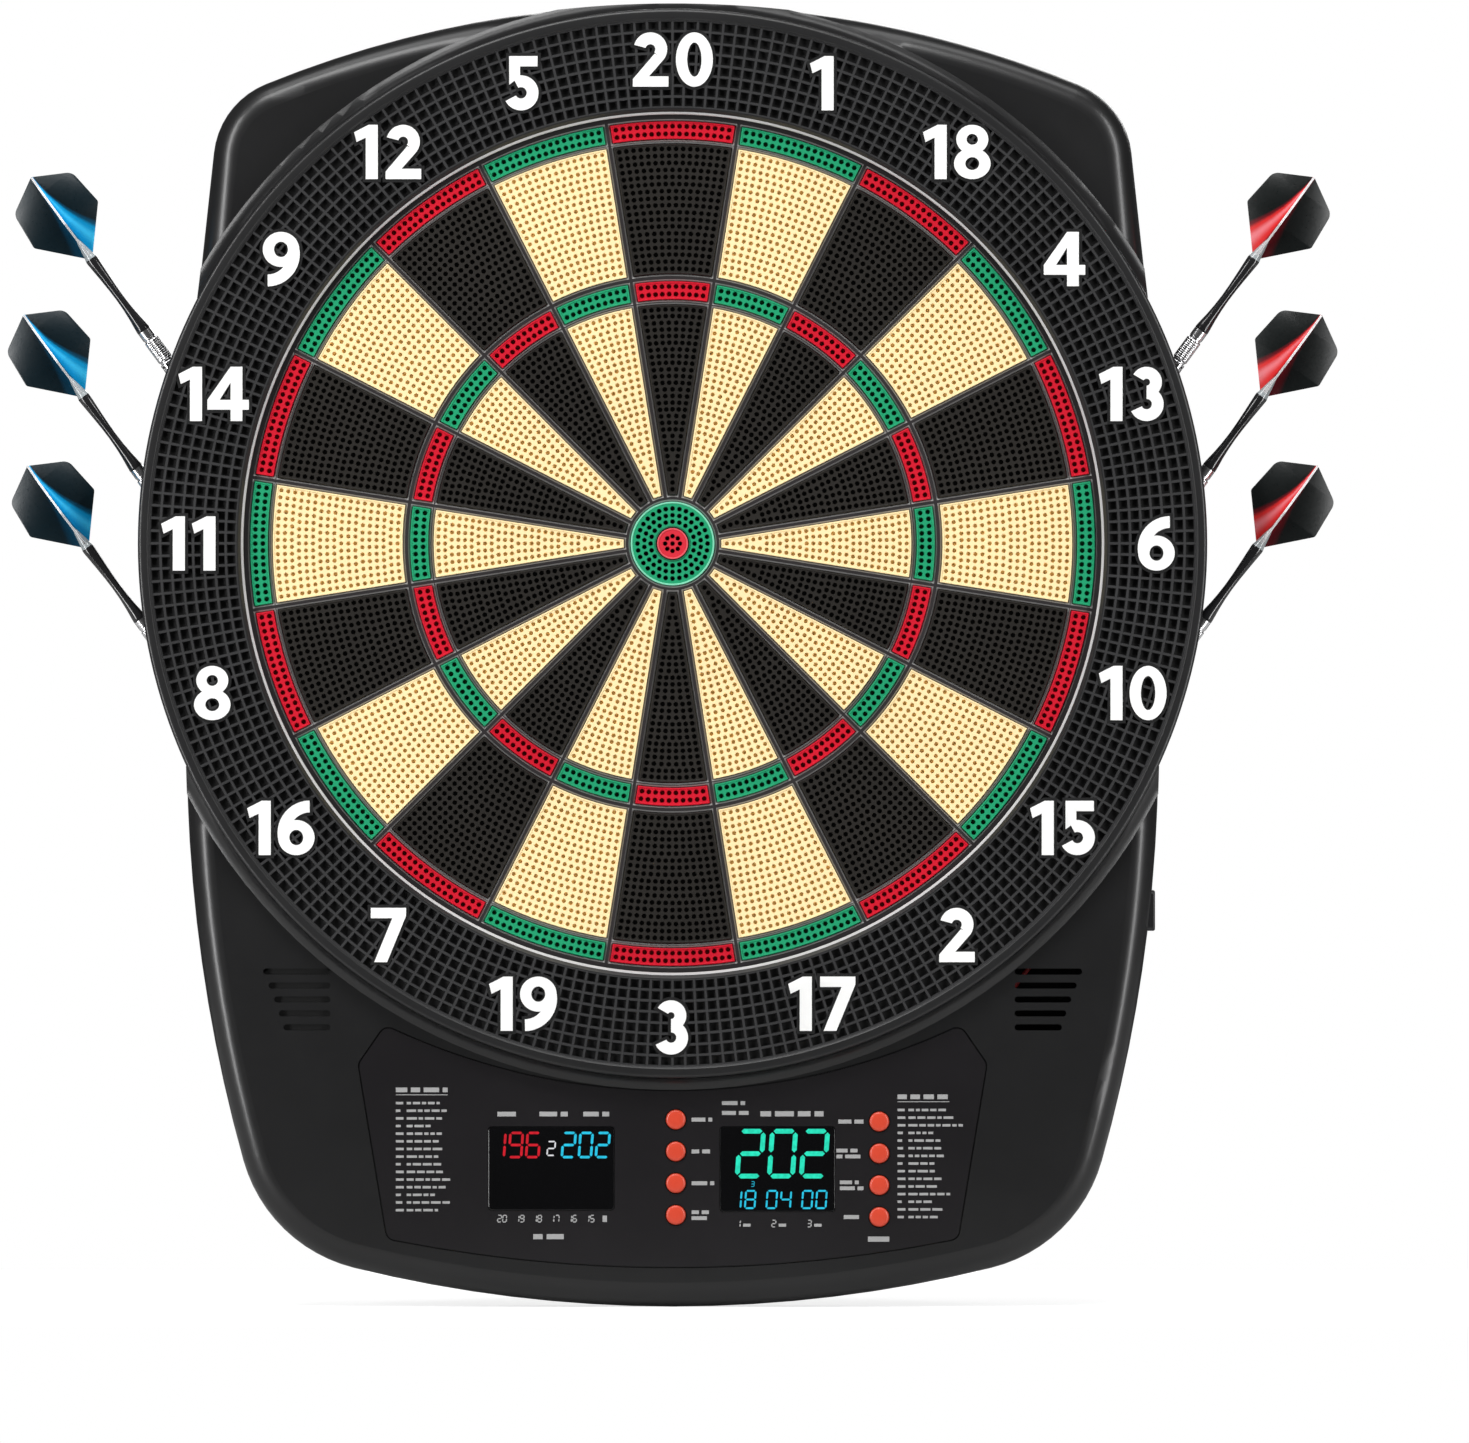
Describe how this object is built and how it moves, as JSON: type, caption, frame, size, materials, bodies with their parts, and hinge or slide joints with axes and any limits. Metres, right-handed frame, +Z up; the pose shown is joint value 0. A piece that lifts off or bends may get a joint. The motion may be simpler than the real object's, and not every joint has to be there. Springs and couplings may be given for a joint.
{
  "type": "electronic dartboard",
  "caption": "Wall-hung electronic soft-tip dartboard: round perforated target in a number ring, control panel below with displays and push buttons, darts held at both sides.",
  "frame": {"origin": "on the bull axis, at the back face of the rear cover where it meets the wall", "axes": "+Z up, +Y into the wall (the face looks along -Y), +X to the right as a player sees it"},
  "size_m": [0.541, 0.037, 0.5286],
  "materials": {
    "segment_black": "satin",
    "segment_cream": "satin",
    "segment_green": "satin",
    "segment_red": "satin",
    "button": "semi gloss",
    "holder": "matte",
    "dart_blue": "gloss flight, steel barrel",
    "dart_red": "gloss flight, steel barrel",
    "housing": "satin",
    "rear_cover": "fine texture",
    "ring": "satin",
    "numeral_white": "semi gloss",
    "spider": "satin",
    "rubber": "matte",
    "membrane_film": "film",
    "backing": "matte",
    "panel": "satin",
    "window": "gloss",
    "display": "gloss",
    "circuit_board": "solder mask",
    "switch": "matte",
    "component": "matte",
    "speaker_metal": "plated",
    "bezel": "satin",
    "screw_steel": "zinc",
    "lead_rubber": "matte"
  },
  "bodies": {
    "board": {"backing_plate": "backing", "board_components": "component", "case_screws": "screw_steel", "catch_ring": "ring", "contact_membrane": "membrane_film", "control_board": "circuit_board", "damper_sheet": "rubber", "dart_holder_left": "holder", "dart_holder_right": "holder", "display_modules": "display", "display_windows": "window", "front_housing": "housing", "inner_screws": "screw_steel", "internal_leads": "lead_rubber", "key_switches": "switch", "membrane_tails": "membrane_film", "numerals": "numeral_white", "panel_faceplate": "panel", "power_socket": "component", "rear_cover": "rear_cover", "socket_bezel": "bezel", "speaker": "speaker_metal", "speaker_clamp": "holder", "spider": "spider"},
    "wedge_20": {"wedge_20": "segment_black"},
    "wedge_01": {"wedge_01": "segment_cream"},
    "wedge_18": {"wedge_18": "segment_black"},
    "wedge_04": {"wedge_04": "segment_cream"},
    "wedge_13": {"wedge_13": "segment_black"},
    "wedge_06": {"wedge_06": "segment_cream"},
    "wedge_10": {"wedge_10": "segment_black"},
    "wedge_15": {"wedge_15": "segment_cream"},
    "wedge_02": {"wedge_02": "segment_black"},
    "wedge_17": {"wedge_17": "segment_cream"},
    "wedge_03": {"wedge_03": "segment_black"},
    "wedge_19": {"wedge_19": "segment_cream"},
    "wedge_07": {"wedge_07": "segment_black"},
    "wedge_16": {"wedge_16": "segment_cream"},
    "wedge_08": {"wedge_08": "segment_black"},
    "wedge_11": {"wedge_11": "segment_cream"},
    "wedge_14": {"wedge_14": "segment_black"},
    "wedge_09": {"wedge_09": "segment_cream"},
    "wedge_12": {"wedge_12": "segment_black"},
    "wedge_05": {"wedge_05": "segment_cream"},
    "bull_outer": {"bull_outer": "segment_green"},
    "bull_inner": {"bull_inner": "segment_red"},
    "button_enter": {"button_enter": "button"},
    "button_game": {"button_game": "button"},
    "button_miss": {"button_miss": "button"},
    "button_option": {"button_option": "button"},
    "button_player": {"button_player": "button"},
    "button_power": {"button_power": "button"},
    "button_reset": {"button_reset": "button"},
    "button_volume": {"button_volume": "button"},
    "dart_left_upper": {"dart_left_upper": "dart_blue"},
    "dart_left_middle": {"dart_left_middle": "dart_blue"},
    "dart_left_lower": {"dart_left_lower": "dart_blue"},
    "dart_right_upper": {"dart_right_upper": "dart_red"},
    "dart_right_middle": {"dart_right_middle": "dart_red"},
    "dart_right_lower": {"dart_right_lower": "dart_red"}
  },
  "joints": [
    {"name": "press_wedge_20", "type": "slide", "parent": "board", "child": "wedge_20", "axis": [0, 1, 0], "range_m": [0, 0.001], "stiffness_N_per_m": 800},
    {"name": "press_wedge_01", "type": "slide", "parent": "board", "child": "wedge_01", "axis": [0, 1, 0], "range_m": [0, 0.001], "stiffness_N_per_m": 800},
    {"name": "press_wedge_18", "type": "slide", "parent": "board", "child": "wedge_18", "axis": [0, 1, 0], "range_m": [0, 0.001], "stiffness_N_per_m": 800},
    {"name": "press_wedge_04", "type": "slide", "parent": "board", "child": "wedge_04", "axis": [0, 1, 0], "range_m": [0, 0.001], "stiffness_N_per_m": 800},
    {"name": "press_wedge_13", "type": "slide", "parent": "board", "child": "wedge_13", "axis": [0, 1, 0], "range_m": [0, 0.001], "stiffness_N_per_m": 800},
    {"name": "press_wedge_06", "type": "slide", "parent": "board", "child": "wedge_06", "axis": [0, 1, 0], "range_m": [0, 0.001], "stiffness_N_per_m": 800},
    {"name": "press_wedge_10", "type": "slide", "parent": "board", "child": "wedge_10", "axis": [0, 1, 0], "range_m": [0, 0.001], "stiffness_N_per_m": 800},
    {"name": "press_wedge_15", "type": "slide", "parent": "board", "child": "wedge_15", "axis": [0, 1, 0], "range_m": [0, 0.001], "stiffness_N_per_m": 800},
    {"name": "press_wedge_02", "type": "slide", "parent": "board", "child": "wedge_02", "axis": [0, 1, 0], "range_m": [0, 0.001], "stiffness_N_per_m": 800},
    {"name": "press_wedge_17", "type": "slide", "parent": "board", "child": "wedge_17", "axis": [0, 1, 0], "range_m": [0, 0.001], "stiffness_N_per_m": 800},
    {"name": "press_wedge_03", "type": "slide", "parent": "board", "child": "wedge_03", "axis": [0, 1, 0], "range_m": [0, 0.001], "stiffness_N_per_m": 800},
    {"name": "press_wedge_19", "type": "slide", "parent": "board", "child": "wedge_19", "axis": [0, 1, 0], "range_m": [0, 0.001], "stiffness_N_per_m": 800},
    {"name": "press_wedge_07", "type": "slide", "parent": "board", "child": "wedge_07", "axis": [0, 1, 0], "range_m": [0, 0.001], "stiffness_N_per_m": 800},
    {"name": "press_wedge_16", "type": "slide", "parent": "board", "child": "wedge_16", "axis": [0, 1, 0], "range_m": [0, 0.001], "stiffness_N_per_m": 800},
    {"name": "press_wedge_08", "type": "slide", "parent": "board", "child": "wedge_08", "axis": [0, 1, 0], "range_m": [0, 0.001], "stiffness_N_per_m": 800},
    {"name": "press_wedge_11", "type": "slide", "parent": "board", "child": "wedge_11", "axis": [0, 1, 0], "range_m": [0, 0.001], "stiffness_N_per_m": 800},
    {"name": "press_wedge_14", "type": "slide", "parent": "board", "child": "wedge_14", "axis": [0, 1, 0], "range_m": [0, 0.001], "stiffness_N_per_m": 800},
    {"name": "press_wedge_09", "type": "slide", "parent": "board", "child": "wedge_09", "axis": [0, 1, 0], "range_m": [0, 0.001], "stiffness_N_per_m": 800},
    {"name": "press_wedge_12", "type": "slide", "parent": "board", "child": "wedge_12", "axis": [0, 1, 0], "range_m": [0, 0.001], "stiffness_N_per_m": 800},
    {"name": "press_wedge_05", "type": "slide", "parent": "board", "child": "wedge_05", "axis": [0, 1, 0], "range_m": [0, 0.001], "stiffness_N_per_m": 800},
    {"name": "press_bull_outer", "type": "slide", "parent": "board", "child": "bull_outer", "axis": [0, 1, 0], "range_m": [0, 0.001], "stiffness_N_per_m": 500},
    {"name": "press_bull_inner", "type": "slide", "parent": "board", "child": "bull_inner", "axis": [0, 1, 0], "range_m": [0, 0.001], "stiffness_N_per_m": 500},
    {"name": "press_button_enter", "type": "slide", "parent": "board", "child": "button_enter", "axis": [0, 1, 0], "range_m": [0, 0.0008], "stiffness_N_per_m": 300},
    {"name": "press_button_game", "type": "slide", "parent": "board", "child": "button_game", "axis": [0, 1, 0], "range_m": [0, 0.0008], "stiffness_N_per_m": 300},
    {"name": "press_button_miss", "type": "slide", "parent": "board", "child": "button_miss", "axis": [0, 1, 0], "range_m": [0, 0.0008], "stiffness_N_per_m": 300},
    {"name": "press_button_option", "type": "slide", "parent": "board", "child": "button_option", "axis": [0, 1, 0], "range_m": [0, 0.0008], "stiffness_N_per_m": 300},
    {"name": "press_button_player", "type": "slide", "parent": "board", "child": "button_player", "axis": [0, 1, 0], "range_m": [0, 0.0008], "stiffness_N_per_m": 300},
    {"name": "press_button_power", "type": "slide", "parent": "board", "child": "button_power", "axis": [0, 1, 0], "range_m": [0, 0.0008], "stiffness_N_per_m": 300},
    {"name": "press_button_reset", "type": "slide", "parent": "board", "child": "button_reset", "axis": [0, 1, 0], "range_m": [0, 0.0008], "stiffness_N_per_m": 300},
    {"name": "press_button_volume", "type": "slide", "parent": "board", "child": "button_volume", "axis": [0, 1, 0], "range_m": [0, 0.0008], "stiffness_N_per_m": 300},
    {"name": "pull_dart_left_upper", "type": "slide", "parent": "board", "child": "dart_left_upper", "axis": [-0.5934, 0, 0.8049], "range_m": [0, 0.03]},
    {"name": "pull_dart_left_middle", "type": "slide", "parent": "board", "child": "dart_left_middle", "axis": [-0.5934, 0, 0.8049], "range_m": [0, 0.03]},
    {"name": "pull_dart_left_lower", "type": "slide", "parent": "board", "child": "dart_left_lower", "axis": [-0.5934, 0, 0.8049], "range_m": [0, 0.03]},
    {"name": "pull_dart_right_upper", "type": "slide", "parent": "board", "child": "dart_right_upper", "axis": [0.5934, 0, 0.8049], "range_m": [0, 0.03]},
    {"name": "pull_dart_right_middle", "type": "slide", "parent": "board", "child": "dart_right_middle", "axis": [0.5934, 0, 0.8049], "range_m": [0, 0.03]},
    {"name": "pull_dart_right_lower", "type": "slide", "parent": "board", "child": "dart_right_lower", "axis": [0.5934, 0, 0.8049], "range_m": [0, 0.03]}
  ]
}
